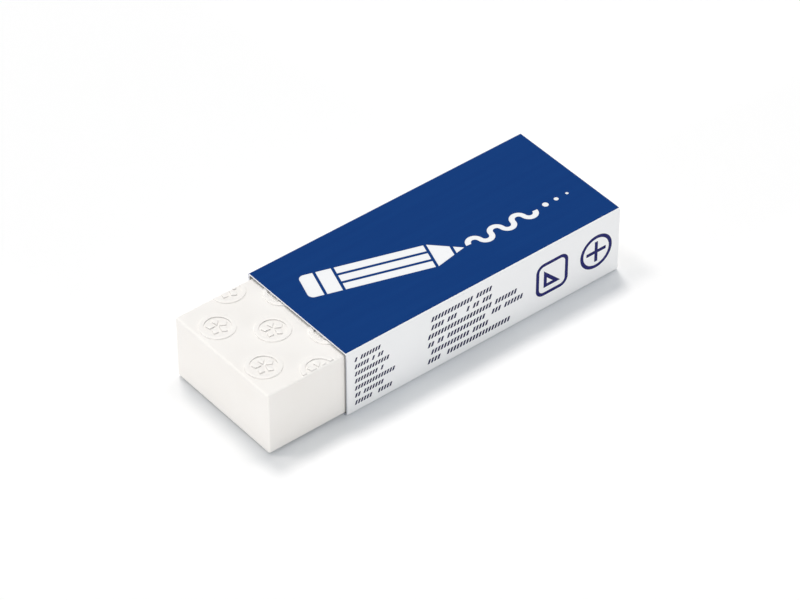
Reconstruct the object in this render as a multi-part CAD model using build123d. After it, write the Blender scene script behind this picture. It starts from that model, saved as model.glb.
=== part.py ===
from build123d import *
import math
import os
import random

# A plastic eraser: a block of white vinyl in a folded card sleeve that slides along it.
# Millimetres. +X runs along the block, away from its bare end. +Z is up. The printed side faces -Y.
# The origin is the middle of the underside of the whole eraser.

# ---------------------------------------------------------------- sizes of the vinyl block
block_length = 65.0
block_width = 21.8
block_height = 11.0
block_edge_radius = 0.35
bare_length = 13.7  # stands out of the sleeve at rest

# ---------------------------------------------------------------- relief raised on its top face
relief_height = 0.2
rosette_radius = 2.75
rosette_ring_width = 0.7
petal_count = 5
petal_inner_end = 0.3  # from the rosette's centre
petal_outer_end = 1.75
petal_widest_at = 1.15
petal_width = 1.05
column_step = 5.8  # along the block
row_step = 5.4  # across it

# ---------------------------------------------------------------- sizes of the card sleeve
card_thickness = 0.3
fold_inside_radius = 0.15
front_clearance = 0.25  # card to block; the block lies over towards the glued back
back_clearance = 0.05
top_clearance = 0.1  # card to the top of the relief
sleeve_overhang = 0.3  # past the far end of the block
flap_height = 8.6  # glue flap, up from the underside
flap_taper = 2.4  # how far the flap's free edge draws in from each end
seam_height = 0.9  # free edge of the outer back panel, up from the underside

# ---------------------------------------------------------------- ink: a film on the outside of the card
ink_thickness = 0.03
blue_wrap_angle = 20.0  # how far the blue of the top panel turns over the front fold, in degrees
blue_overlap = 0.6  # how far it runs down the back, past the fold

# the white design in the blue field: a pencil and the line that it draws
art_margin = 3.4  # from the ends of the sleeve
pencil_angle = 18.0
pencil_length = 25.0  # tip to end
pencil_width = 5.2
point_length = 5.0
lead_length = 1.5
holder_length = 2.4
rubber_length = 2.3
rubber_corner = 0.9
pencil_gap = 0.45  # blue lines between its white fields
stroke_width = 0.9
wave_length = 4.2
wave_height = 1.9
dot_count = 3
dot_radius = 0.5
dot_shrink = 0.12  # each dot is this much smaller than the one before
dot_step = 2.1

# the dark marks on the front side panel: two blocks of bars in the place of small text, and two signs
bar_height = 0.62
bar_pitch = 1.35
word_space = 0.6
word_length_least = 1.9
word_length_most = 3.9
short_block_start = 1.5  # from the sleeve's open end
short_block_row_count = 7
short_block_word_count = 2
long_block_start = 15.0
long_block_row_count = 6
long_block_word_count = 5
sign_size = 6.2
sign_line = 0.5
sign_corner = 1.5
square_sign_start = 35.4
ring_sign_start = 44.0

# ---------------------------------------------------------------- sizes that follow from these
# A block whose edges are sharper than the card's folds needs a wider sleeve, so that the folds clear them.
corner_room = max(0.0, fold_inside_radius - block_edge_radius)
fold_outside_radius = fold_inside_radius + card_thickness
sleeve_length = block_length - bare_length + sleeve_overhang
sleeve_width = block_width + front_clearance + back_clearance + 2 * corner_room + 3 * card_thickness
sleeve_height = block_height + relief_height + top_clearance + 2 * card_thickness

block_start = -(block_length + sleeve_overhang) / 2
sleeve_start = block_start + bare_length
sleeve_back = sleeve_width / 2
sleeve_front = -sleeve_back
sleeve_bottom = ink_thickness
sleeve_top = sleeve_bottom + sleeve_height
flap_inner_face = sleeve_back - 2 * card_thickness

block_middle_y = flap_inner_face - back_clearance - corner_room - block_width / 2
block_bottom = sleeve_bottom + card_thickness
block_top = block_bottom + block_height
across = Plane(origin=(sleeve_start, 0, 0), x_dir=(0, 1, 0), z_dir=(1, 0, 0))  # the sleeve's cross-section


def rosette():
    """One motif of the relief: a ring round a wheel of pointed petals, on the XY plane."""
    ring = Circle(rosette_radius) - Circle(rosette_radius - rosette_ring_width)
    petal = Polygon(
        (petal_inner_end, 0),
        (petal_widest_at, -petal_width / 2),
        (petal_outer_end, 0),
        (petal_widest_at, petal_width / 2),
        align=None,
    )
    return [ring] + [Rot(0, 0, 360 / petal_count * k) * petal for k in range(petal_count)]


def relief_places():
    """Staggered places for the rosettes. The outer rows are cut off by the sides of the block."""
    reach = block_length / 2 - block_edge_radius - rosette_radius
    columns = math.floor(reach / column_step)
    rows = math.floor((block_width + rosette_radius) / 2 / row_step)
    return [
        (column * column_step, row * row_step)
        for column in range(-columns, columns + 1)
        for row in range(-rows, rows + 1)
        if (column + row) % 2 == 0
    ]


def eraser_block():
    """The vinyl block, with its small rounded edges and the relief on the flat of its top face."""
    middle_x = block_start + block_length / 2
    block = Pos(middle_x, block_middle_y, block_bottom + block_height / 2) * Box(
        block_length, block_width, block_height
    )
    block = fillet(block.edges(), block_edge_radius)
    flat = Rectangle(block_length - 2 * block_edge_radius, block_width - 2 * block_edge_radius)
    fields = [(Pos(x, y) * shape) & flat for x, y in relief_places() for shape in rosette()]
    top = Plane(origin=(middle_x, block_middle_y, block_top))
    raised = [extrude(top * field, amount=relief_height) for field in fields if field]
    return block + raised


def folded_strip():
    """The sleeve's card: one strip, folded four times round the block, its flap glued inside the back."""
    half = card_thickness / 2
    back = sleeve_back - half
    front = sleeve_front + half
    roof = sleeve_top - half
    floor = sleeve_bottom + half
    flap = back - card_thickness
    floor_middle = (0, floor)
    panels = [(back, sleeve_bottom + seam_height), (back, roof), (front, roof), (front, floor), floor_middle]
    glued_end = [floor_middle, (flap, floor), (flap, sleeve_bottom + flap_height)]
    strip = Part()
    for corners in (panels, glued_end):
        line = FilletPolyline(*corners, radius=fold_inside_radius + half)
        strip += extrude(across * trace(line, card_thickness), amount=sleeve_length)
    return strip


def flap_ends():
    """What is cut off the two ends of the glue flap, so that its free edge draws in from the openings."""
    fold_top = sleeve_bottom + fold_outside_radius
    flap_top = sleeve_bottom + flap_height
    wedges = []
    for end, inward in ((sleeve_start, 1), (sleeve_start + sleeve_length, -1)):
        corners = [
            (end, flap_inner_face, fold_top),
            (end + inward * flap_taper, flap_inner_face, flap_top),
            (end, flap_inner_face, flap_top),
        ]
        wedge = make_face(Polyline(*corners, close=True))
        wedges.append(extrude(wedge, amount=card_thickness, dir=(0, 1, 0)))
    return wedges


def card_sleeve():
    """The folded card, with the ends of its glue flap cut back."""
    return folded_strip() - flap_ends()


def pencil():
    """A pencil pictogram with its tip at the origin, lying back along -X."""
    half = pencil_width / 2
    slope = half / point_length
    lead = Polygon(
        (0, 0),
        (-lead_length, slope * lead_length),
        (-lead_length, -slope * lead_length),
        align=None,
    )
    wood_tip = lead_length + pencil_gap
    wood = Polygon(
        (-wood_tip, slope * wood_tip),
        (-point_length, half),
        (-point_length, -half),
        (-wood_tip, -slope * wood_tip),
        align=None,
    )
    barrel_start = point_length + pencil_gap
    barrel_end = pencil_length - rubber_length - holder_length - 2 * pencil_gap
    barrel_length = barrel_end - barrel_start
    facet_width = (pencil_width - 2 * pencil_gap) / 3
    facet = Pos(-(barrel_start + barrel_end) / 2, 0) * Rectangle(barrel_length, facet_width)
    facets = [Pos(0, k * (facet_width + pencil_gap)) * facet for k in (-1, 0, 1)]
    holder = Pos(-(barrel_end + pencil_gap + holder_length / 2), 0) * Rectangle(holder_length, pencil_width)
    rubber = Rectangle(rubber_length, pencil_width)
    rubber = fillet(rubber.vertices().group_by(Axis.X)[0], rubber_corner)
    rubber = Pos(-(pencil_length - rubber_length / 2), 0) * rubber
    return [lead, wood, *facets, holder, rubber]


def drawn_line(length):
    """A waved line from the origin along +X, made of arcs, that breaks up into shrinking dots."""
    waves = max(1, math.floor((length - dot_count * dot_step) / wave_length))
    arc_length = wave_length / 2
    arcs = [
        ThreePointArc(
            (k * arc_length, 0),
            ((k + 0.5) * arc_length, (-1) ** k * wave_height / 2),
            ((k + 1) * arc_length, 0),
        )
        for k in range(2 * waves)
    ]
    dots = [
        Pos(waves * wave_length + (k + 1) * dot_step, 0) * Circle(dot_radius - k * dot_shrink)
        for k in range(dot_count)
    ]
    return [trace(Wire(arcs), stroke_width), *dots]


def top_artwork():
    """The white design in the blue field, from the sleeve's open end: a tilted pencil and its line."""
    angle = math.radians(pencil_angle)
    pencil_reach = pencil_length * math.cos(angle) + pencil_width / 2 * math.sin(angle)
    tip = (art_margin + pencil_reach, -pencil_length * math.sin(angle) / 2)
    line_start = tip[0] + stroke_width
    line = drawn_line(sleeve_length - art_margin - line_start)
    pieces = [Pos(*tip) * Rot(0, 0, -pencil_angle) * shape for shape in pencil()]
    return pieces + [Pos(line_start, tip[1]) * shape for shape in line]


def top_print():
    """The blue of the top panel, turned over both its folds, with the white design left open in it."""
    radius = fold_outside_radius + ink_thickness / 2
    fold_height = sleeve_top - fold_outside_radius
    front_turn = CenterArc((sleeve_front + fold_outside_radius, fold_height), radius, 90, blue_wrap_angle)
    back_turn = CenterArc((sleeve_back - fold_outside_radius, fold_height), radius, 0, 90)
    flat = Line(front_turn @ 0, back_turn @ 1)
    drop = Line(back_turn @ 0, back_turn @ 0 - (0, blue_overlap))
    line = Wire([front_turn, flat, back_turn, drop])
    field = extrude(across * trace(line, ink_thickness), amount=sleeve_length)
    panel = Plane(origin=(sleeve_start, 0, sleeve_top))
    return field - [extrude(panel * shape, amount=ink_thickness) for shape in top_artwork()]


def underside_print():
    """The blue of the bottom panel, plain, from fold to fold."""
    front = sleeve_front + fold_outside_radius
    back = flap_inner_face + card_thickness - fold_outside_radius
    field = Box(sleeve_length, back - front, ink_thickness, align=(Align.MIN, Align.MIN, Align.MIN))
    return Pos(sleeve_start, front, 0) * field


def text_block(start, rows, words):
    """Rows of bars in the place of small text, with words of uneven length."""
    lengths = random.Random(rows)
    top_row = sleeve_height / 2 + (rows - 1) / 2 * bar_pitch
    bars = []
    for row in range(rows):
        x = start
        for word in range(words - lengths.randint(0, words // 3)):
            length = lengths.uniform(word_length_least, word_length_most)
            bars.append(Pos(x + length / 2, top_row - row * bar_pitch) * Rectangle(length, bar_height))
            x += length + word_space
    return bars


def square_sign():
    """A rounded frame round a set square."""
    window = sign_size - 2 * sign_line
    frame = RectangleRounded(sign_size, sign_size, sign_corner)
    frame -= RectangleRounded(window, window, sign_corner - sign_line)
    leg = window - 3 * sign_line
    corner = -leg / 2
    slant = sign_line * (2 + math.sqrt(2))  # a frame of one line's width takes this much off each leg
    outline = Polygon((corner, corner), (corner + leg, corner), (corner, corner + leg), align=None)
    inner = corner + sign_line
    opening = Polygon((inner, inner), (inner + leg - slant, inner), (inner, inner + leg - slant), align=None)
    return [frame, outline - opening]


def ring_sign():
    """A ring round a cross, as printers use for lining up their colours."""
    ring = Circle(sign_size / 2) - Circle(sign_size / 2 - sign_line)
    arm = sign_size - 4 * sign_line
    return [ring, Rectangle(arm, sign_line) + Rectangle(sign_line, arm)]


def side_print():
    """The small dark marks on the white front side panel."""
    panel = Plane(origin=(sleeve_start, sleeve_front, sleeve_bottom), x_dir=(1, 0, 0), z_dir=(0, -1, 0))
    shapes = text_block(short_block_start, short_block_row_count, short_block_word_count)
    shapes += text_block(long_block_start, long_block_row_count, long_block_word_count)
    for start, sign in ((square_sign_start, square_sign()), (ring_sign_start, ring_sign())):
        shapes += [Pos(start + sign_size / 2, sleeve_height / 2) * shape for shape in sign]
    return Compound([extrude(panel * shape, amount=ink_thickness) for shape in shapes])


parts = {
    "eraser_block": eraser_block(),
    "card_sleeve": card_sleeve(),
    "top_print": top_print(),
    "underside_print": underside_print(),
    "side_print": side_print(),
}

os.makedirs("parts", exist_ok=True)
for name, shape in parts.items():
    shape.label = name
    export_step(shape, f"parts/{name}.step")
    box = shape.bounding_box()
    print(f"{name}: {len(shape.solids())} solid(s), {shape.volume:.2f} mm3, from {box.min} to {box.max}")
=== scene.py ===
# %% [markdown]
# # A vinyl eraser in its card sleeve
# The real thing is two pieces. A block of white vinyl is pressed with a low pattern and cut to length. A
# strip of thin coated card is printed, creased four times round the block and glued along a flap, so that
# it slides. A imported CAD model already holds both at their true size, with the joint between them. This
# lesson dresses it: the block gets soft pressed forms, the card gets its cut edges, and every surface
# gets a finish of its own.

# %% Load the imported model
import math
import bmesh
import bpy
from mathutils import Matrix, Vector


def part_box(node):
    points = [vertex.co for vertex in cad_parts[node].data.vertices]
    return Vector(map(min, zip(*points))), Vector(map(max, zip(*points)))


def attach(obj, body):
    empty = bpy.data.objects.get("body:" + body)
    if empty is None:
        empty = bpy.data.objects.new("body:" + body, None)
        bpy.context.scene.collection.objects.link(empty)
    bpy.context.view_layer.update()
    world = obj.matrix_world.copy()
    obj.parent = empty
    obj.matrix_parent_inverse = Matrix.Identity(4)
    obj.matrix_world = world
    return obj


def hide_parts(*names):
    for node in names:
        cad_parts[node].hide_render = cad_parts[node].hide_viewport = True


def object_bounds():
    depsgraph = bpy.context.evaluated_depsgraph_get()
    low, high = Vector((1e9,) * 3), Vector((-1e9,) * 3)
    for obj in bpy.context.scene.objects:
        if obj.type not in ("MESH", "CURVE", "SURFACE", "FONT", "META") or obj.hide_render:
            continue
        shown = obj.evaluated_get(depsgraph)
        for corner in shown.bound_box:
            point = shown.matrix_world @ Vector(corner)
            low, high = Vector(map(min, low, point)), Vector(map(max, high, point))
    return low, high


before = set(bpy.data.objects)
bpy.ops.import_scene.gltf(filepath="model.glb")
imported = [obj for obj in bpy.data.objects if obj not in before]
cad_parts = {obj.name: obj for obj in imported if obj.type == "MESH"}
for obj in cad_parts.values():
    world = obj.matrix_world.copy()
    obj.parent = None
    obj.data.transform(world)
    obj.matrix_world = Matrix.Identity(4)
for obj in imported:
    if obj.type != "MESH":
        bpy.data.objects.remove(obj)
cad_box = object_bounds()
print("nodes:", ", ".join(sorted(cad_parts)))

# %% [markdown]
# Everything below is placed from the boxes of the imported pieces, in metres. Small sizes are easier to
# read in millimetres, so they are written as a number times MM. The card's thickness is not in any box,
# but it follows from them: the block lies on the sleeve's lower panel, which is one card thick.

# %% Measure the two pieces
MM = 0.001
block_low, block_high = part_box("eraser_block")
sleeve_low, sleeve_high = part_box("card_sleeve")
block_size = block_high - block_low
block_middle = (block_low + block_high) / 2
sleeve_size = sleeve_high - sleeve_low
card_thickness = block_low.z - sleeve_low.z
print("block  mm:", [round(v / MM, 2) for v in block_size])
print("sleeve mm:", [round(v / MM, 2) for v in sleeve_size])
print("card   mm:", round(card_thickness / MM, 2))

# %% [markdown]
# Node trees are built by hand in this file, for materials and for geometry. Small helpers keep that
# short. The first adds a node, sets its options and fills its inputs: an input given a socket is wired to
# it, and an input given a value keeps that value. The others are one step of arithmetic, and the three
# parts of a vector.

# %% Helpers for node trees
def add_node(tree, kind, inputs=None, **options):
    """Add a node, set its options, then wire or set its inputs. Returns the node."""
    made = tree.nodes.new(kind)
    for name, value in options.items():
        setattr(made, name, value)
    for key, value in (inputs or {}).items():
        if isinstance(value, bpy.types.NodeSocket):
            tree.links.new(value, made.inputs[key])
        else:
            made.inputs[key].default_value = value
    return made


def calculate(tree, operation, *values):
    """One Math node, which works the same in both kinds of tree. Returns its result."""
    return add_node(tree, "ShaderNodeMath", dict(enumerate(values)), operation=operation).outputs[0]


def split(tree, vector):
    """The X, Y and Z of a vector."""
    return add_node(tree, "ShaderNodeSeparateXYZ", {0: vector}).outputs


# %% [markdown]
# Geometry Nodes grow a shape from a start and a few named sizes. What a tree makes could stay live on its
# object, but a plain mesh is easier to go on with, so each tree runs once on a carrier and the result is
# kept.

# %% Start and end a tree
def new_tree(name, **sockets):
    """A modifier tree with these named inputs. Returns the tree and the sockets that feed it."""
    tree = bpy.data.node_groups.new(name, "GeometryNodeTree")
    tree.is_modifier = True
    tree.interface.new_socket("Geometry", in_out="OUTPUT", socket_type="NodeSocketGeometry")
    for label, kind in {"Geometry": "Geometry", **sockets, "Finish": "Material"}.items():
        tree.interface.new_socket(label, in_out="INPUT", socket_type="NodeSocket" + kind)
    return tree, tree.nodes.new("NodeGroupInput").outputs


def close_tree(tree, geometry, finish):
    """End a tree with real geometry instead of instances, and with its finish. Returns the tree."""
    real = add_node(tree, "GeometryNodeRealizeInstances", {0: geometry}).outputs[0]
    painted = add_node(tree, "GeometryNodeSetMaterial", {"Geometry": real, "Material": finish})
    add_node(tree, "NodeGroupOutput", {0: painted.outputs[0]})
    print("tree", tree.name, "has", len(tree.nodes), "nodes")
    return tree


# %% Run a tree
def show(name, data):
    """Put a mesh, a curve or a lamp in the scene as an object of that name."""
    made = bpy.data.objects.new(name, data)
    bpy.context.scene.collection.objects.link(made)
    return made


def grow(name, start, tree, **values):
    """Run a tree over start, a mesh or a curve, and keep the result as a mesh object called name."""
    carrier = show(name + "_start", start)
    modifier = carrier.modifiers.new(tree.name, "NODES")
    modifier.node_group = tree
    for item in tree.interface.items_tree:
        if item.in_out == "INPUT" and item.name in values:
            modifier[item.identifier] = values[item.name]
    evaluated = carrier.evaluated_get(bpy.context.evaluated_depsgraph_get())
    mesh = bpy.data.meshes.new_from_object(evaluated)
    mesh.name = name
    bpy.data.objects.remove(carrier)
    return show(name, mesh)


# %% [markdown]
# No edge in the real world is perfectly sharp, and the thin light line along a blunt one tells the eye
# how large a thing is. A narrow bevel gives that line. Weighted normals then leave the large flat faces
# their own direction and turn only the small ones, which smooth shading alone would not do.

# %% A helper for edges
blunting = 0.03 * MM
sharp_from = math.radians(60)


def soften_edges(piece):
    """Blunt every edge sharper than the limit, inner corners too, and keep large flat faces flat."""
    bevel = piece.modifiers.new("blunted_edges", "BEVEL")
    bevel.width = blunting
    bevel.segments = 2
    bevel.limit_method = "ANGLE"
    bevel.angle_limit = sharp_from
    piece.modifiers.new("keep_flats_flat", "WEIGHTED_NORMAL").weight = 90


# %% [markdown]
# ## Finishes
# A finish is more than a colour. Each one here has a base colour that wanders a little, a roughness that
# wanders with it, and a bump at the scale of the real surface. Patterns read Object coordinates, which
# are metres on the piece, so noise can be asked for by the size of its spots.

# %% Start and end a finish
def new_finish(name):
    """A material that holds nothing yet, and its tree."""
    material = bpy.data.materials.new(name)
    material.use_nodes = True
    material.node_tree.nodes.clear()
    return material, material.node_tree


def shade(tree, inputs):
    """End a tree with one Principled shader, whose inputs are wired or set."""
    shader = add_node(tree, "ShaderNodeBsdfPrincipled", inputs)
    add_node(tree, "ShaderNodeOutputMaterial", {"Surface": shader.outputs[0]})


# %% Patterns for a finish
def spots(tree, size, stretch=(1, 1, 1), detail=3.0):
    """Soft noise from 0 to 1 with spots of about that size, in metres, drawn out along an axis if asked."""
    place = add_node(tree, "ShaderNodeTexCoord").outputs["Object"]
    scaled = add_node(tree, "ShaderNodeMapping", {"Vector": place, "Scale": [1 / s for s in stretch]})
    inputs = {"Vector": scaled.outputs[0], "Scale": 1 / size, "Detail": detail}
    return add_node(tree, "ShaderNodeTexNoise", inputs).outputs[0]


def between(tree, share, low, high):
    """A number that goes from low to high as share goes from 0 to 1."""
    return add_node(tree, "ShaderNodeMapRange", {"Value": share, "To Min": low, "To Max": high}).outputs[0]


def tint(tree, share, first, second):
    """A colour that goes from first to second as share goes from 0.3 to 0.7, where noise mostly lies."""
    ramp = add_node(tree, "ShaderNodeValToRGB", {0: share})
    for point, position, colour in zip(ramp.color_ramp.elements, (0.3, 0.7), (first, second)):
        point.position = position
        point.color = (*colour, 1)
    return ramp.outputs[0]


def bumps(tree, *layers):
    """Bumps on top of each other. Each is (height from 0 to 1, real depth in metres, strength)."""
    normal = None
    for height, depth, strength in layers:
        inputs = {"Height": height, "Distance": depth, "Strength": strength}
        if normal:
            inputs["Normal"] = normal
        normal = add_node(tree, "ShaderNodeBump", inputs).outputs[0]
    return normal


# %% [markdown]
# ### Vinyl
# Eraser vinyl is soft PVC, so full of chalk that light hardly goes in. It is white with a trace of
# warmth, and its skin is a fine even matte with hardly any shine. Subsurface scattering could soften it
# further, but here closed forms stand in each other, which darkens it. A middle roughness and two layers
# of fine bump do it.

# %% Make the vinyl
def vinyl_finish():
    material, tree = new_finish("white_vinyl")
    clouds = spots(tree, size=5 * MM)
    dents, skin = spots(tree, size=2.5 * MM), spots(tree, size=0.12 * MM)
    shade(tree, {
        "Base Color": tint(tree, clouds, (0.93, 0.908, 0.88), (0.945, 0.928, 0.905)),
        "Roughness": between(tree, spots(tree, size=1.2 * MM), 0.45, 0.58),
        "Specular IOR Level": 0.35,
        "Normal": bumps(tree, (dents, 0.01 * MM, 0.5), (skin, 0.004 * MM, 0.4)),
    })
    return material


vinyl = vinyl_finish()
print("made", vinyl.name)

# %% [markdown]
# ### Card
# The sleeve is folding boxboard: long fibres pressed into a sheet, with a smooth white coating outside.
# The coating is cool and satin, and a faint grain of the fibres below still shows in it. Inside, the
# board is bare, so it is rougher and greyer. Where the knife went through, the layers of pulp show as
# fine streaks. Noise that is pulled out along one axis gives fibres and streaks alike, and runs on
# unbroken over a crease.

# %% Make the coated card
def coated_card_finish():
    material, tree = new_finish("coated_card")
    grain = spots(tree, size=0.25 * MM, stretch=(6, 1, 1), detail=5)
    clouds = spots(tree, size=6 * MM, detail=2)
    shade(tree, {
        "Base Color": tint(tree, clouds, (0.92, 0.933, 0.952), (0.935, 0.948, 0.967)),
        "Roughness": between(tree, grain, 0.36, 0.48),
        "Specular IOR Level": 0.4,
        "Normal": bumps(tree, (clouds, 0.02 * MM, 0.3), (grain, 0.004 * MM, 0.5)),
    })
    return material


card = coated_card_finish()
print("made", card.name)


# %% Make the bare board
def bare_board_finish():
    material, tree = new_finish("bare_board")
    fibres = spots(tree, size=0.18 * MM, stretch=(9, 1, 1), detail=6)
    shade(tree, {
        "Base Color": tint(tree, fibres, (0.54, 0.53, 0.5), (0.67, 0.66, 0.62)),
        "Roughness": between(tree, fibres, 0.75, 0.95),
        "Specular IOR Level": 0.25,
        "Normal": bumps(tree, (fibres, 0.015 * MM, 0.7)),
    })
    return material


bare_board = bare_board_finish()
print("made", bare_board.name)


# %% Make the cut edge of the board
def cut_board_finish():
    material, tree = new_finish("cut_board")
    pulp = spots(tree, size=0.05 * MM, stretch=(1, 8, 8), detail=4)
    shade(tree, {
        "Base Color": tint(tree, pulp, (0.84, 0.86, 0.92), (0.93, 0.94, 0.98)),
        "Roughness": between(tree, pulp, 0.8, 0.95),
        "Specular IOR Level": 0.2,
        "Normal": bumps(tree, (pulp, 0.01 * MM, 0.8)),
    })
    return material


cut_board = cut_board_finish()
print("made", cut_board.name)

# %% [markdown]
# ### Ink
# Offset ink is a film a few thousandths of a millimetre thick, so it takes the grain of the card below
# it. A solid field of it is even but never perfect: the press leaves faint streaks along its running
# direction.

# %% Make the inks
def ink_finish(name, light, dark):
    material, tree = new_finish(name)
    grain = spots(tree, size=0.25 * MM, stretch=(6, 1, 1), detail=5)
    streaks = spots(tree, size=1.5 * MM, stretch=(12, 1, 1), detail=2)
    clouds = spots(tree, size=6 * MM, detail=2)
    shade(tree, {
        "Base Color": tint(tree, streaks, dark, light),
        "Roughness": between(tree, grain, 0.3, 0.42),
        "Specular IOR Level": 0.05,
        "Normal": bumps(tree, (clouds, 0.02 * MM, 0.3), (grain, 0.004 * MM, 0.5)),
    })
    return material


blue_ink = ink_finish("printed_blue", light=(0.0015, 0.042, 0.201), dark=(0.0008, 0.038, 0.191))
dark_ink = ink_finish("printed_dark", light=(0.018, 0.02, 0.08), dark=(0.012, 0.014, 0.06))
navy_ink = ink_finish("printed_navy", light=(0.021, 0.022, 0.142), dark=(0.016, 0.017, 0.122))
print("made", blue_ink.name, dark_ink.name, navy_ink.name)

# %% [markdown]
# ## The vinyl block
# The block is a plain bar with small rounded edges, and its top is pressed with rows of rosettes.
# Subdivision would round the bar too, but it pulls the flat faces out of true. A cube whose edges are all
# bevelled keeps them. The bar stops at the plain face, and the rosettes are set on it afterwards.

# %% Build the bare block
edge_radius = 0.35 * MM
relief_height = 0.2 * MM
plain_face = block_high.z - relief_height


def bare_block():
    """A bar with rounded edges, as high as the plain face round the relief."""
    bm = bmesh.new()
    size = (block_size.x, block_size.y, plain_face - block_low.z)
    middle = (block_middle.x, block_middle.y, (plain_face + block_low.z) / 2)
    bmesh.ops.create_cube(bm, size=1, matrix=Matrix.Translation(middle) @ Matrix.Diagonal((*size, 1)))
    bmesh.ops.bevel(bm, geom=bm.edges[:], offset=edge_radius, segments=6, profile=0.5, affect="EDGES")
    return to_mesh(bm, bpy.data.meshes.new("bare_block"))


def to_mesh(bm, mesh):
    """End a bmesh: put it into mesh, smooth all over and with the first finish. Returns the mesh."""
    for face in bm.faces:
        face.smooth = True
        face.material_index = 0
    bm.to_mesh(mesh)
    bm.free()
    return mesh


block_mesh = bare_block()
print("bare block:", len(block_mesh.polygons), "faces")

# %% [markdown]
# ### One rosette
# A rosette is a ring round a wheel of five pointed petals. A bump in the finish could hint at it, but
# real walls catch the light from every side. Each form is flat with upright walls, so one helper serves
# both: it walls in the space between rows of points, either from a lower outline to an upper one, with a
# lid on both, or round and round, which closes a ring. The forms reach a little way down into the block,
# so that no gap can open under them. A Boolean union would join them for good, but at this size it leaves
# flaws in the shading.

# %% Helpers for flat forms
def turned(x, y, angle):
    """The place x, y turned round the origin."""
    return x * math.cos(angle) - y * math.sin(angle), x * math.sin(angle) + y * math.cos(angle)


def wall_in(bm, rows, ring):
    """Faces between rows of points, each row closed. A ring joins its last row to its first one."""
    loops = [[bm.verts.new(point) for point in row] for row in rows]
    pairs = list(zip(loops, loops[1:])) + ([(loops[-1], loops[0])] if ring else [])
    for lower, upper in pairs:
        for k in range(len(lower)):
            after = (k + 1) % len(lower)
            bm.faces.new((lower[k], lower[after], upper[after], upper[k]))
    if not ring:
        bm.faces.new(list(reversed(loops[0])))
        bm.faces.new(loops[-1])


# %% Build a rosette
rosette_radius = 2.75 * MM
ring_width = 0.7 * MM
petal_outline = ((0.3, 0), (1.15, -0.525), (1.75, 0), (1.15, 0.525))  # in mm, from the centre outwards
sunk = 0.1 * MM


def rosette(petal_count=5, steps=64):
    """The ring and its petals, standing on the plain face at the origin."""
    bm = bmesh.new()
    outer, inner = rosette_radius, rosette_radius - ring_width
    section = ((outer, -sunk), (outer, relief_height), (inner, relief_height), (inner, -sunk))
    turns = [2 * math.pi * k / steps for k in range(steps)]
    wall_in(bm, [[(*turned(radius, 0, a), z) for a in turns] for radius, z in section], ring=True)
    for k in range(petal_count):
        outline = [turned(x * MM, y * MM, 2 * math.pi * k / petal_count) for x, y in petal_outline]
        wall_in(bm, [[(x, y, z) for x, y in outline] for z in (-sunk, relief_height)], ring=False)
    return to_mesh(bm, bpy.data.meshes.new("rosette"))


rosette_mesh = rosette()
print("rosette:", len(rosette_mesh.polygons), "faces")

# %% [markdown]
# ### The pressed pattern
# The rosettes stand on a staggered lattice. Two array modifiers could repeat one in straight rows, but
# every other place stays empty here. Geometry Nodes suit that: a grid of points, of which every other one
# is kept, gets a rosette each.

# %% Tree for a staggered lattice
def staggered_lattice():
    tree, inputs = new_tree("staggered_lattice", Middle="Vector", **{
        "Column step": "Float", "Row step": "Float", "Columns": "Int", "Rows": "Int"})
    steps = inputs["Column step"], inputs["Row step"]
    counts = inputs["Columns"], inputs["Rows"]  # on each side of the middle
    gaps = [calculate(tree, "MULTIPLY", count, 2.0) for count in counts]
    sizes = [calculate(tree, "MULTIPLY", gap, step) for gap, step in zip(gaps, steps)]
    points = [calculate(tree, "ADD", gap, 1.0) for gap in gaps]
    grid = add_node(tree, "GeometryNodeMeshGrid", {
        "Size X": sizes[0], "Size Y": sizes[1], "Vertices X": points[0], "Vertices Y": points[1]})
    x, y, _ = split(tree, add_node(tree, "GeometryNodeInputPosition").outputs[0])
    column, row = [calculate(tree, "ROUND", calculate(tree, "DIVIDE", v, s)) for v, s in zip((x, y), steps)]
    odd = calculate(tree, "FLOORED_MODULO", calculate(tree, "ADD", column, row), 2.0)
    placed = add_node(tree, "GeometryNodeInstanceOnPoints", {
        "Points": grid.outputs["Mesh"], "Selection": calculate(tree, "LESS_THAN", odd, 0.5),
        "Instance": inputs["Geometry"]}).outputs[0]
    lifted = add_node(tree, "GeometryNodeTransform", {"Geometry": placed, "Translation": inputs["Middle"]})
    return close_tree(tree, lifted.outputs[0], inputs["Finish"])


# %% Press the block
column_step, row_step = 5.8 * MM, 5.4 * MM
flat_x, flat_y = block_size.x / 2 - edge_radius, block_size.y / 2 - edge_radius
vinyl_block = grow("vinyl_block", rosette_mesh, staggered_lattice(), **{
    "Middle": (block_middle.x, block_middle.y, plain_face),
    "Column step": column_step,
    "Row step": row_step,
    "Columns": math.floor((flat_x - rosette_radius) / column_step),
    "Rows": math.floor((block_size.y + rosette_radius) / 2 / row_step),
    "Finish": vinyl,
})
print("rosettes:", len(vinyl_block.data.polygons) // len(rosette_mesh.polygons))

# %% [markdown]
# The blade that cuts the real block to its width goes through the outer rows. So each closed form is cut
# along the edge of the flat face, what lies outside is dropped, and the open end is filled. Then the bar
# joins them.

# %% Trim the outer rows and add the bar
tolerance = 1e-9


def trim(bm, point, outwards):
    """Cut closed solids along a plane, drop what lies outwards of it, and close the rest again."""
    everything = bm.verts[:] + bm.edges[:] + bm.faces[:]
    cut = bmesh.ops.bisect_plane(
        bm, geom=everything, dist=tolerance, plane_co=point, plane_no=outwards, clear_outer=True)
    rims = [part for part in cut["geom_cut"] if isinstance(part, bmesh.types.BMEdge)]
    bmesh.ops.holes_fill(bm, edges=rims, sides=0)


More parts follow.
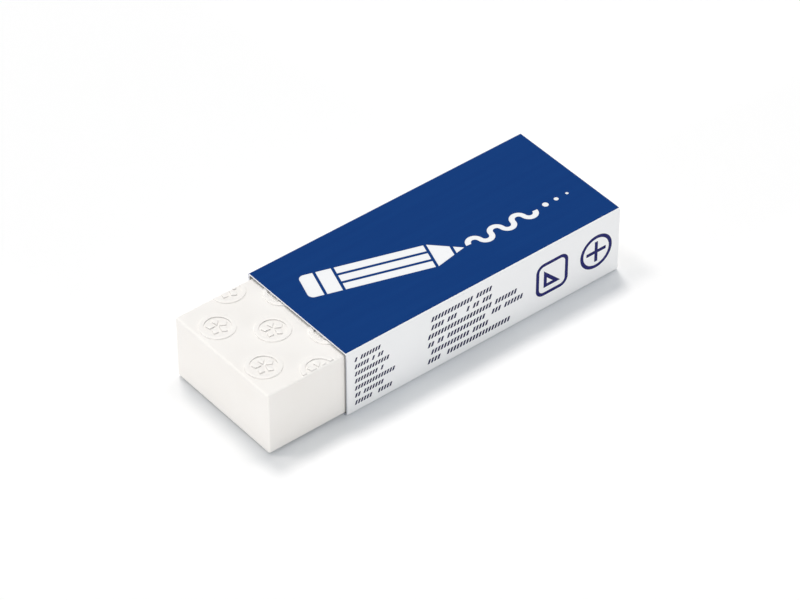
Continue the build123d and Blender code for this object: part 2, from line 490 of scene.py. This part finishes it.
bm = bmesh.new()
bm.from_mesh(vinyl_block.data)
for side in (-1, 1):
    trim(bm, (0, block_middle.y + side * flat_y, 0), (0, side, 0))
bmesh.ops.recalc_face_normals(bm, faces=bm.faces)
bm.from_mesh(block_mesh)
to_mesh(bm, vinyl_block.data)
vinyl_block.data.materials.clear()
vinyl_block.data.materials.append(vinyl)
soften_edges(vinyl_block)
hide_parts("eraser_block")
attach(vinyl_block, "block")
print("vinyl block:", len(vinyl_block.data.polygons), "faces before its bevel")

# %% [markdown]
# ## The card sleeve
# Four thin boxes could stand for the panels, but a real sleeve is one strip, with a round crease at each
# corner, and it is made as one: a line with a corner at each crease, seen from the end, swept along the
# block. The line starts at the free edge of the outer back panel, goes over the top, down the front,
# along the underside and up inside the back again, where it is the glue flap.

# %% Draw the strip from the end
fold_radius = 0.15 * MM + card_thickness / 2  # to the middle of the card
flap_height = 8.6 * MM
flap_taper = 2.4 * MM
seam_height = 0.9 * MM
glue_line = 0.01 * MM


def strip_line():
    """The middle line of the card in the YZ plane, with sharp corners, as a curve."""
    half = card_thickness / 2
    low, high = sleeve_low.z + half, sleeve_high.z - half
    front, back = sleeve_low.y + half, sleeve_high.y - half
    flap = back - card_thickness - glue_line
    corners = [(back, sleeve_low.z + seam_height), (back, high), (front, high), (front, low), (flap, low),
               (flap, sleeve_low.z + flap_height)]
    print("strip from the end, mm:", [(round(y / MM, 2), round(z / MM, 2)) for y, z in corners])
    curve = bpy.data.curves.new("strip_line", "CURVE")
    curve.dimensions = "3D"
    spline = curve.splines.new("POLY")
    spline.points.add(len(corners) - 1)
    for point, (y, z) in zip(spline.points, corners):
        point.co = (0, y, z, 1)
    return curve


# %% [markdown]
# A tree for the strip rounds the creases and sweeps the line, and then sets each point's place anew: its
# Y and Z from the line, and its X from its share of the length. Near the flap's edge it draws both ends
# in, which gives the slanted cuts of a glue flap. A value has to be captured before the sweep to be known
# after it.

# %% A helper that stores a value
def capture(tree, geometry, value, kind="FLOAT"):
    """Store a value on geometry before it changes. Returns the geometry and the stored value."""
    keeper = add_node(tree, "GeometryNodeCaptureAttribute", {"Geometry": geometry})
    keeper.capture_items.new(kind, "kept")
    tree.links.new(value, keeper.inputs[1])
    return keeper.outputs[0], keeper.outputs[1]


# %% Tree for a folded strip
def folded_strip(crease_steps=8, stations=9):
    tree, inputs = new_tree("folded_strip", Start="Float", Length="Float", **{
        "Fold radius": "Float", "Flap length": "Float", "Flap taper": "Float"})
    rounded = add_node(tree, "GeometryNodeFilletCurve", {
        "Curve": inputs["Geometry"], "Radius": inputs["Fold radius"], "Count": crease_steps}, mode="POLY")
    place = add_node(tree, "GeometryNodeInputPosition").outputs[0]
    parameter = add_node(tree, "GeometryNodeSplineParameter").outputs
    whole = add_node(tree, "GeometryNodeSplineLength").outputs[0]
    line, line_place = capture(tree, rounded.outputs[0], place, "VECTOR")
    line, to_end = capture(tree, line, calculate(tree, "SUBTRACT", whole, parameter["Length"]))
    side = add_node(tree, "GeometryNodeCurvePrimitiveLine", {"End": (1, 0, 0)}).outputs[0]
    side = add_node(tree, "GeometryNodeResampleCurve", {"Curve": side, "Count": stations}).outputs[0]
    side, share = capture(tree, side, parameter["Factor"])
    swept = add_node(tree, "GeometryNodeCurveToMesh", {"Curve": line, "Profile Curve": side}).outputs[0]
    nearness = calculate(tree, "SUBTRACT", 1.0, calculate(tree, "DIVIDE", to_end, inputs["Flap length"]))
    drawn_in = calculate(tree, "MULTIPLY", inputs["Flap taper"], calculate(tree, "MAXIMUM", 0.0, nearness))
    reach = calculate(tree, "SUBTRACT", inputs["Length"], calculate(tree, "MULTIPLY", drawn_in, 2.0))
    begin = calculate(tree, "ADD", inputs["Start"], drawn_in)
    x = calculate(tree, "ADD", begin, calculate(tree, "MULTIPLY", reach, share))
    _, y, z = split(tree, line_place)
    target = add_node(tree, "ShaderNodeCombineXYZ", {"X": x, "Y": y, "Z": z}).outputs[0]
    moved = add_node(tree, "GeometryNodeSetPosition", {"Geometry": swept, "Position": target}).outputs[0]
    smooth = add_node(tree, "GeometryNodeSetShadeSmooth", {"Geometry": moved})
    return close_tree(tree, smooth.outputs[0], inputs["Finish"])


# %% Fold the sleeve
sleeve = grow("folded_sleeve", strip_line(), folded_strip(), **{
    "Start": sleeve_low.x,
    "Length": sleeve_size.x,
    "Fold radius": fold_radius,
    "Flap length": flap_height - card_thickness / 2 - fold_radius,
    "Flap taper": flap_taper,
    "Finish": bare_board,
})
print("strip:", len(sleeve.data.polygons), "faces")

# %% [markdown]
# The swept faces look inwards and have the bare board's finish. Solidify gives the card its thickness,
# and finds the outside and the cut edges in the next two slots. Then the cuts lose their sharpness.

# %% Give the strip its thickness
sleeve.data.materials.append(card)
sleeve.data.materials.append(cut_board)
thicken = sleeve.modifiers.new("thickness", "SOLIDIFY")
thicken.thickness = card_thickness
thicken.offset = 0
thicken.use_even_offset = True
thicken.material_offset = 1
thicken.material_offset_rim = 2
soften_edges(sleeve)
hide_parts("card_sleeve")
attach(sleeve, "sleeve")
print("finishes on the sleeve:", ", ".join(finish.name for finish in sleeve.data.materials))

# %% [markdown]
# ## The print
# The large blue fields are right as the CAD model has them: a film that turns over both upper creases,
# with a pencil and its waved line left open, so that the card shows through. They only need their finish.

# %% Finish the blue fields
for name in ("top_print", "underside_print"):
    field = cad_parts[name]
    field.material_slots[0].material = blue_ink

# %% [markdown]
# The side panel carries two blocks of small marks. They say nothing: each row is a run of short leaning
# strokes, all alike, with gaps here and there. Drawn one by one they would be some two hundred objects, so
# Geometry Nodes lay them out. A grid gives one point for each possible mark, random values with a fixed
# seed leave some out and end each row at its own length, and one small block is instanced on the rest.

# %% Parts of the tree for marks
def chance(tree, low, high, identity, seed):
    """A random number from low to high that stays the same for the same identity and seed."""
    float_low, float_high, identity_input, seed_input = 2, 3, 7, 8  # the others are for other kinds
    inputs = {float_low: low, float_high: high, identity_input: identity, seed_input: seed}
    return add_node(tree, "FunctionNodeRandomValue", inputs, data_type="FLOAT").outputs[1]


def leaning_block(tree, lean):
    """A unit block standing on its lower left corner, leaning to the right."""
    cube = add_node(tree, "GeometryNodeMeshCube").outputs["Mesh"]
    height = split(tree, add_node(tree, "GeometryNodeInputPosition").outputs[0])["Y"]
    offset = add_node(tree, "ShaderNodeCombineXYZ", {
        "X": calculate(tree, "MULTIPLY_ADD", height, lean, 0.5), "Y": 0.5, "Z": 0.5}).outputs[0]
    return add_node(tree, "GeometryNodeSetPosition", {"Geometry": cube, "Offset": offset}).outputs[0]


# %% Tree for rows of marks
def rows_of_marks():
    labels = {"Rows": "Int", "Columns": "Int", "Seed": "Int", "Corner": "Vector"}
    lengths = ("Pitch", "Row pitch", "Stroke width", "Stroke height", "Film")
    shares = ("Gap share", "Shortest row", "Lean")
    tree, inputs = new_tree("rows_of_marks", **labels, **dict.fromkeys(lengths + shares, "Float"))
    rows, columns, seed = inputs["Rows"], inputs["Columns"], inputs["Seed"]
    size_x = calculate(tree, "MULTIPLY", calculate(tree, "SUBTRACT", columns, 1.0), inputs["Pitch"])
    size_y = calculate(tree, "MULTIPLY", calculate(tree, "SUBTRACT", rows, 1.0), inputs["Row pitch"])
    grid = add_node(tree, "GeometryNodeMeshGrid", {
        "Size X": size_x, "Size Y": size_y, "Vertices X": columns, "Vertices Y": rows})
    index = add_node(tree, "GeometryNodeInputIndex").outputs[0]
    column = calculate(tree, "FLOOR", calculate(tree, "DIVIDE", index, rows))
    row = calculate(tree, "MODULO", index, rows)
    row_end = calculate(tree, "MULTIPLY", columns, chance(tree, inputs["Shortest row"], 1.0, row, seed))
    in_row = calculate(tree, "LESS_THAN", column, row_end)
    not_gap = calculate(tree, "GREATER_THAN", chance(tree, 0.0, 1.0, index, seed), inputs["Gap share"])
    scale = add_node(tree, "ShaderNodeCombineXYZ", {
        "X": inputs["Stroke width"], "Y": inputs["Stroke height"], "Z": inputs["Film"]}).outputs[0]
    marks = add_node(tree, "GeometryNodeInstanceOnPoints", {
        "Points": grid.outputs["Mesh"], "Selection": calculate(tree, "MULTIPLY", in_row, not_gap),
        "Instance": leaning_block(tree, inputs["Lean"]), "Scale": scale}).outputs[0]
    half_x, half_y = calculate(tree, "MULTIPLY", size_x, 0.5), calculate(tree, "MULTIPLY", size_y, -0.5)
    corner_offset = add_node(tree, "ShaderNodeCombineXYZ", {"X": half_x, "Y": half_y}).outputs[0]
    laid = add_node(tree, "GeometryNodeTransform", {
        "Geometry": marks, "Translation": corner_offset}).outputs[0]
    upright = add_node(tree, "GeometryNodeTransform", {
        "Geometry": laid, "Translation": inputs["Corner"], "Rotation": (math.pi / 2, 0, 0)}).outputs[0]
    return close_tree(tree, upright, inputs["Finish"])


# %% Print the two blocks of marks
panel_middle = (sleeve_low.z + sleeve_high.z) / 2
print_film = 0.012 * MM
stroke_pitch_share, stroke_width_share, stroke_height_share = 0.385, 0.235, 0.54  # of the row pitch
marks_tree = rows_of_marks()


def print_marks(name, start, rows, columns, row_pitch, seed):
    """Rows of marks on the side panel, from start along the sleeve, centred on the panel's height."""
    stroke_height = stroke_height_share * row_pitch
    top_row = panel_middle + (rows - 1) / 2 * row_pitch - stroke_height / 2
    marks = grow(name, bpy.data.meshes.new(name), marks_tree, **{
        "Rows": rows,
        "Columns": columns,
        "Seed": seed,
        "Corner": (sleeve_low.x + start, sleeve_low.y, top_row),
        "Pitch": stroke_pitch_share * row_pitch,
        "Row pitch": row_pitch,
        "Stroke width": stroke_width_share * row_pitch,
        "Stroke height": stroke_height,
        "Gap share": 0.12,
        "Shortest row": 0.6,
        "Lean": 0.8,
        "Film": print_film,
        "Finish": dark_ink,
    })
    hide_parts("side_print")
    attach(marks, "sleeve")
    print(name, len(marks.data.polygons), "faces")


print_marks("short_marks", start=1.5 * MM, rows=7, columns=14, row_pitch=1.37 * MM, seed=4)
print_marks("long_marks", start=15 * MM, rows=6, columns=31, row_pitch=1.56 * MM, seed=9)

# %% [markdown]
# Two signs stand beside the small print: a rounded frame round a set square, and a ring round a cross.
# They could be cut out of a plate, but flat signs are easiest as filled curves. A curve with several
# closed outlines is filled between them, so a hole is one more outline inside the first.

# %% Outlines for flat signs
def arc_points(centre, radius, start, end, steps):
    """Points on an arc from start to end, in degrees, both included."""
    angles = [math.radians(start + (end - start) * k / steps) for k in range(steps + 1)]
    return [(centre + radius * math.cos(a), centre + radius * math.sin(a)) for a in angles]


def four_times(points):
    """Points of one quarter of an outline, repeated for each quarter turn."""
    outline = []
    for _ in range(4):
        outline += points
        points = [(-y, x) for x, y in points]
    return outline


def circle(radius):
    return four_times(arc_points(0, radius, 0, 90, 16)[:-1])


def rounded_square(size, corner):
    return four_times(arc_points(size / 2 - corner, corner, 0, 90, 8))


def cross(arm, line):
    return four_times([(arm / 2, -line / 2), (arm / 2, line / 2), (line / 2, line / 2)])


def set_square(low, leg):
    return [(low, low), (low + leg, low), (low, low + leg)]


# %% A helper for flat signs
sign_size, sign_line, sign_corner = 6.2 * MM, 0.6 * MM, 1.5 * MM


def print_sign(name, start, outlines):
    """A filled curve of several outlines, made a mesh and stood on the side panel."""
    curve = bpy.data.curves.new(name, "CURVE")
    curve.dimensions = "2D"
    curve.fill_mode = "BOTH"
    curve.extrude = print_film / 2  # to each side
    for outline in outlines:
        spline = curve.splines.new("POLY")
        spline.points.add(len(outline) - 1)
        spline.use_cyclic_u = True
        for point, (x, y) in zip(spline.points, outline):
            point.co = (x, y, 0, 1)
    carrier = show(name + "_curve", curve)
    mesh = bpy.data.meshes.new_from_object(carrier)
    bpy.data.objects.remove(carrier)
    middle = (sleeve_low.x + start + sign_size / 2, sleeve_low.y - print_film / 2, panel_middle)
    mesh.transform(Matrix.Translation(middle) @ Matrix.Rotation(math.pi / 2, 4, "X"))
    mesh.materials.clear()
    mesh.materials.append(navy_ink)
    sign = show(name, mesh)
    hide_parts("side_print")
    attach(sign, "sleeve")
    print(name, len(sign.data.polygons), "faces")


# %% Print the two signs
leg = sign_size - 5 * sign_line
slant = sign_line * (2 + math.sqrt(2))  # a frame one line wide takes this much off each leg
print_sign("square_sign", start=35.4 * MM, outlines=[
    rounded_square(sign_size, sign_corner),
    rounded_square(sign_size - 2 * sign_line, sign_corner - sign_line),
    set_square(-leg / 2, leg),
    set_square(-leg / 2 + sign_line, leg - slant),
])
print_sign("ring_sign", start=44 * MM, outlines=[
    circle(sign_size / 2),
    circle(sign_size / 2 - sign_line),
    cross(sign_size - 4 * sign_line, sign_line),
])

# %% [markdown]
# ## Floor, light and camera
# The floor is a white table. It should come out plain white with a soft grey shadow. Stronger lamps would
# get it there, but they would burn out the white vinyl as well. So rays from the camera, and rays that
# mirror or pass through a piece, see a little extra light in the floor, and see the room as plain white.
# The extra light is a little cool, because the lamps are a little warm.

# %% Lay the floor
floor_width = 6
floor_lift = 0.105


def seen(tree):
    """1 for rays that the camera sees directly, in a reflection or through glass, and 0 for light."""
    path = add_node(tree, "ShaderNodeLightPath").outputs
    either = calculate(tree, "MAXIMUM", path["Is Camera Ray"], path["Is Glossy Ray"])
    return calculate(tree, "MAXIMUM", either, path["Is Transmission Ray"])


def floor_finish():
    material, tree = new_finish("white_table")
    paint = add_node(tree, "ShaderNodeBsdfDiffuse", {"Color": (0.93, 0.93, 0.93, 1)}).outputs[0]
    extra = calculate(tree, "MULTIPLY", seen(tree), floor_lift)
    lift = add_node(tree, "ShaderNodeEmission", {"Color": (1, 1.06, 1.14, 1), "Strength": extra})
    both = add_node(tree, "ShaderNodeAddShader", {0: paint, 1: lift.outputs[0]}).outputs[0]
    add_node(tree, "ShaderNodeOutputMaterial", {"Surface": both})
    return material


bpy.ops.mesh.primitive_plane_add(size=floor_width)
floor = bpy.context.object
floor.name = "floor"
floor.data.materials.append(floor_finish())
print("floor, m:", [round(v, 2) for v in floor.dimensions])

# %% [markdown]
# The world is an even room, a little cool, and the lamps are a little warm. Three of them stand high
# behind the eraser, side by side, and throw its soft shadow to the front and a short way past both ends.
# Two low ones brighten the upright faces at the front and at the bare end. Their light is not passed on,
# so the gaps stay dark. An area lamp would do too, but a sun's softness is one angle, and it doesn't fall
# off with distance.

# %% Light the room
room_light = 0.355
world = bpy.data.worlds.new("white_room")
world.use_nodes = True
bpy.context.scene.world = world
room = world.node_tree
room.nodes.clear()
strength = calculate(room, "ADD", calculate(room, "MULTIPLY", seen(room), 1 - room_light), room_light)
sky = add_node(room, "ShaderNodeBackground", {"Color": (0.94, 1, 1.045, 1), "Strength": strength})
add_node(room, "ShaderNodeOutputWorld", {"Surface": sky.outputs[0]})
print("room light", room_light)


# %% Hang the lamps
def lamp(name, towards, strength, spread, passed_on=True):
    """A sun that shines from that direction, with that angle across, in degrees."""
    light = bpy.data.lights.new(name, "SUN")
    light.color = (1, 0.955, 0.915)
    light.energy = strength
    light.angle = math.radians(spread)
    if not passed_on:
        light.cycles.max_bounces = 0
    made = show(name, light)
    made.rotation_mode = "QUATERNION"
    made.rotation_quaternion = Vector(towards).to_track_quat("Z", "Y")
    print(name, "strength", strength, "spread", spread)


lamp("key_left", towards=(-0.36, 0.36, 1.0), strength=0.54, spread=14)
lamp("key_middle", towards=(0.15, 0.37, 1.0), strength=1.1, spread=14)
lamp("key_right", towards=(0.36, 0.08, 1.0), strength=0.42, spread=16)
lamp("front_fill", towards=(0.1, -1.0, 0.06), strength=0.88, spread=6, passed_on=False)
lamp("end_fill", towards=(-1.0, 0.1, 0.06), strength=1.03, spread=6, passed_on=False)

# %% [markdown]
# A long lens from more than half a metre away keeps the block's long edges nearly parallel. The camera
# looks down on the bare end from the front left. It is placed by its two angles and its distance from
# what it aims at, because they can be judged one at a time.

# %% Set up the camera
view_azimuth, view_elevation = math.radians(-39.03), math.radians(40.96)
view_distance = 577.6 * MM
lens, sensor_width = 177.9, 36
aim_offset = Vector((-1.32, -1.72, 0)) * MM

back = Vector((math.sin(view_azimuth) * math.cos(view_elevation),
               -math.cos(view_azimuth) * math.cos(view_elevation), math.sin(view_elevation)))
camera_data = bpy.data.cameras.new("camera")
camera_data.sensor_width = sensor_width
camera_data.lens = lens
camera = show("camera", camera_data)
camera.location = (cad_box[0] + cad_box[1]) / 2 + aim_offset + back * view_distance
camera.rotation_mode = "QUATERNION"
camera.rotation_quaternion = (-back).to_track_quat("-Z", "Y")
bpy.context.scene.camera = camera
bpy.context.scene.view_settings.view_transform = "Standard"
print("camera at mm:", [round(v / MM, 1) for v in camera.location])
